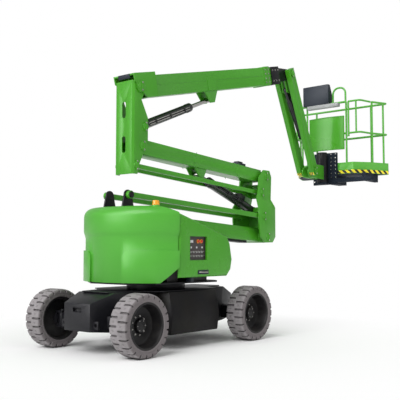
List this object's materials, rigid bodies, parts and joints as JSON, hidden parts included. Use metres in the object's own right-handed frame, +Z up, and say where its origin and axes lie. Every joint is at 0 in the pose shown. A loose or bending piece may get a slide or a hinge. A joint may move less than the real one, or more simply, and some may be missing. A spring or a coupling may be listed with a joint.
{
  "type": "articulating boom lift",
  "caption": "Self-propelled articulating boom lift: four-wheel chassis, slewing turret, folding riser, telescopic boom, jib and a railed work platform.",
  "frame": {"origin": "on the ground, on the slew axis, midway between the four wheels", "axes": "+X along the chassis towards the platform end, +Y to the machine's left, +Z up"},
  "size_m": [6.61, 1.835, 4.2365],
  "materials": {
    "green_paint": "gloss",
    "weight_paint": "gloss",
    "green_cover": "gloss",
    "green_light": "gloss",
    "dark_paint": "satin",
    "dark_light": "satin",
    "dark_cover": "satin",
    "navy_plastic": "satin",
    "pale_alloy": "satin",
    "battery": "matte",
    "tyre": "matte",
    "rim": "satin",
    "barrel": "gloss",
    "chrome_rod": "polished",
    "amber_lens": "gloss"
  },
  "bodies": {
    "chassis": {"chassis_frame": "dark_paint", "battery_covers": "dark_cover", "battery_packs": "battery", "slew_ring": "dark_paint", "tie_down_lugs": "dark_paint", "steer_axle": "dark_paint", "drive_axle": "dark_paint"},
    "steer_knuckle_left": {"steer_knuckle_left": "dark_paint"},
    "steer_knuckle_right": {"steer_knuckle_right": "dark_paint"},
    "wheel_front_left": {"tyre_front_left": "tyre", "rim_front_left": "rim"},
    "wheel_front_right": {"tyre_front_right": "tyre", "rim_front_right": "rim"},
    "wheel_rear_left": {"tyre_rear_left": "tyre", "rim_rear_left": "rim"},
    "wheel_rear_right": {"tyre_rear_right": "tyre", "rim_rear_right": "rim"},
    "turret": {"turntable": "dark_paint", "riser_tower": "green_paint", "tie_brackets": "dark_paint", "counterweight": "weight_paint", "beacon": "amber_lens", "ground_controls": "navy_plastic", "power_blocks": "battery"},
    "hood_left": {"hood_left": "green_cover"},
    "hood_right": {"hood_right": "green_cover"},
    "lower_arm": {"lower_arm": "green_paint"},
    "lower_ties": {"lower_ties": "green_paint"},
    "knuckle": {"knuckle": "green_paint"},
    "upper_arm": {"upper_arm": "green_paint"},
    "upper_ties": {"upper_ties": "green_paint"},
    "upright": {"upright": "green_paint"},
    "riser_barrel": {"riser_cylinder_barrel": "barrel"},
    "riser_rod": {"riser_cylinder_rod": "chrome_rod"},
    "boom": {"boom_outer": "green_paint", "boom_cap": "navy_plastic"},
    "fly": {"boom_fly": "green_paint", "boom_nose": "dark_paint"},
    "lift_barrel": {"lift_cylinder_barrel": "barrel"},
    "lift_rod": {"lift_cylinder_rod": "chrome_rod"},
    "jib_head": {"jib_head": "green_paint"},
    "jib": {"jib_beams": "green_paint"},
    "jib_barrel": {"jib_cylinder_barrel": "barrel"},
    "jib_rod": {"jib_cylinder_rod": "chrome_rod"},
    "platform_bracket": {"platform_bracket": "green_paint", "rotator": "dark_paint"},
    "platform": {"platform_support": "dark_light", "platform_floor": "dark_light", "toe_boards": "green_light", "platform_rails": "green_light", "guard_panel": "green_cover", "console": "navy_plastic", "console_tray": "pale_alloy"},
    "gate": {"gate": "green_light"}
  },
  "joints": [
    {"name": "swing", "type": "hinge", "parent": "chassis", "child": "turret", "pos_m": [0, 0, 0.79], "axis": [0, 0, 1], "range_deg": [-177.5, 177.5]},
    {"name": "steer_left", "type": "hinge", "parent": "chassis", "child": "steer_knuckle_left", "pos_m": [-1.05, 0.59, 0.36], "axis": [0, 0, 1], "range_deg": [-36, 36]},
    {"name": "steer_right", "type": "hinge", "parent": "chassis", "child": "steer_knuckle_right", "pos_m": [-1.05, -0.59, 0.36], "axis": [0, 0, 1], "range_deg": [-36, 36]},
    {"name": "roll_front_left", "type": "hinge", "parent": "chassis", "child": "wheel_front_left", "pos_m": [1.05, 0.745, 0.36], "axis": [0, 1, 0], "continuous": true},
    {"name": "roll_front_right", "type": "hinge", "parent": "chassis", "child": "wheel_front_right", "pos_m": [1.05, -0.745, 0.36], "axis": [0, 1, 0], "continuous": true},
    {"name": "roll_rear_left", "type": "hinge", "parent": "steer_knuckle_left", "child": "wheel_rear_left", "pos_m": [-1.05, 0.745, 0.36], "axis": [0, 1, 0], "continuous": true},
    {"name": "roll_rear_right", "type": "hinge", "parent": "steer_knuckle_right", "child": "wheel_rear_right", "pos_m": [-1.05, -0.745, 0.36], "axis": [0, 1, 0], "continuous": true},
    {"name": "hood_left_open", "type": "hinge", "parent": "turret", "child": "hood_left", "pos_m": [0.0285, 0.285, 1.5228], "axis": [0.9627, 0, -0.2705], "range_deg": [0, 50]},
    {"name": "hood_right_open", "type": "hinge", "parent": "turret", "child": "hood_right", "pos_m": [0.0285, -0.285, 1.5228], "axis": [-0.9627, 0, 0.2705], "range_deg": [0, 50]},
    {"name": "riser", "type": "hinge", "parent": "turret", "child": "lower_arm", "pos_m": [-0.58, 0, 1.56], "axis": [0, -1, 0], "range_deg": [0, 65]},
    {"name": "lower_tie_swing", "type": "hinge", "parent": "turret", "child": "lower_ties", "pos_m": [-0.68, 0, 1.88], "axis": [0, -1, 0], "range_deg": [0, 65]},
    {"name": "knuckle_level", "type": "hinge", "parent": "lower_arm", "child": "knuckle", "pos_m": [2.245, 0, 1.397], "axis": [0, 1, 0], "range_deg": [0, 65]},
    {"name": "upper_arm_raise", "type": "hinge", "parent": "knuckle", "child": "upper_arm", "pos_m": [2.3, 0, 2.34], "axis": [0, 1, 0], "range_deg": [0, 65]},
    {"name": "upper_tie_swing", "type": "hinge", "parent": "knuckle", "child": "upper_ties", "pos_m": [2.18, 0, 2.085], "axis": [0, 1, 0], "range_deg": [0, 65]},
    {"name": "upright_level", "type": "hinge", "parent": "upper_arm", "child": "upright", "pos_m": [-0.414, 0, 2.515], "axis": [0, -1, 0], "range_deg": [0, 65]},
    {"name": "riser_barrel_swing", "type": "hinge", "parent": "knuckle", "child": "riser_barrel", "pos_m": [2.15, 0, 1.812], "axis": [0, 1, 0], "range_deg": [0, 55.45]},
    {"name": "riser_rod_out", "type": "slide", "parent": "riser_barrel", "child": "riser_rod", "axis": [-0.9458, 0, 0.3249], "range_m": [0, 0.5285]},
    {"name": "boom_lift", "type": "hinge", "parent": "upright", "child": "boom", "pos_m": [-0.47, 0, 3.265], "axis": [0, -1, 0], "range_deg": [-22, 61]},
    {"name": "lift_barrel_swing", "type": "hinge", "parent": "upright", "child": "lift_barrel", "pos_m": [-0.375, 0, 2.765], "axis": [0, -1, 0], "range_deg": [-19.16, 52.78]},
    {"name": "lift_rod_out", "type": "slide", "parent": "lift_barrel", "child": "lift_rod", "axis": [0.9241, 0, 0.3821], "range_m": [-0.1653, 0.4567]},
    {"name": "telescope", "type": "slide", "parent": "boom", "child": "fly", "axis": [0.9724, 0, 0.2334], "range_m": [0, 2.3]},
    {"name": "jib_level", "type": "hinge", "parent": "fly", "child": "jib_head", "pos_m": [3.11513, 0, 4.12571], "axis": [0, 1, 0], "range_deg": [-22, 61]},
    {"name": "jib_lower", "type": "hinge", "parent": "jib_head", "child": "jib", "pos_m": [3.11513, 0, 4.12571], "axis": [0, 1, 0], "range_deg": [-120, 4]},
    {"name": "platform_level", "type": "hinge", "parent": "jib", "child": "platform_bracket", "pos_m": [3.835, 0, 2.565], "axis": [0, -1, 0], "range_deg": [-120, 4]},
    {"name": "jib_barrel_swing", "type": "hinge", "parent": "jib_head", "child": "jib_barrel", "pos_m": [3.18, 0, 3.88], "axis": [0, 1, 0], "range_deg": [-117, 4.09]},
    {"name": "jib_rod_out", "type": "slide", "parent": "jib_barrel", "child": "jib_rod", "axis": [0.5562, 0, -0.831], "range_m": [-0.0194, 0.5521]},
    {"name": "platform_rotate", "type": "hinge", "parent": "platform_bracket", "child": "platform", "pos_m": [4.345, 0, 2.4], "axis": [0, 0, 1], "range_deg": [-75, 75]},
    {"name": "gate_swing", "type": "hinge", "parent": "platform", "child": "gate", "pos_m": [4.528, -0.444, 3.5], "axis": [0, 0, 1], "range_deg": [0, 90]}
  ],
  "couplings": [
    {"joint": "steer_right", "follows": "steer_left", "ratio": 1},
    {"joint": "lower_tie_swing", "follows": "riser", "ratio": 1},
    {"joint": "knuckle_level", "follows": "riser", "ratio": 1},
    {"joint": "upper_arm_raise", "follows": "riser", "ratio": 1},
    {"joint": "upper_tie_swing", "follows": "riser", "ratio": 1},
    {"joint": "upright_level", "follows": "riser", "ratio": 1},
    {"joint": "riser_barrel_swing", "follows": "riser", "ratio": 0.85},
    {"joint": "riser_rod_out", "follows": "riser", "m_per_rad": 0.465},
    {"joint": "lift_barrel_swing", "follows": "boom_lift", "ratio": 0.862},
    {"joint": "lift_rod_out", "follows": "boom_lift", "m_per_rad": 0.428},
    {"joint": "jib_level", "follows": "boom_lift", "ratio": 1},
    {"joint": "platform_level", "follows": "jib_lower", "ratio": 1},
    {"joint": "jib_barrel_swing", "follows": "jib_lower", "ratio": 0.97333},
    {"joint": "jib_rod_out", "follows": "jib_lower", "m_per_rad": -0.26315}
  ]
}
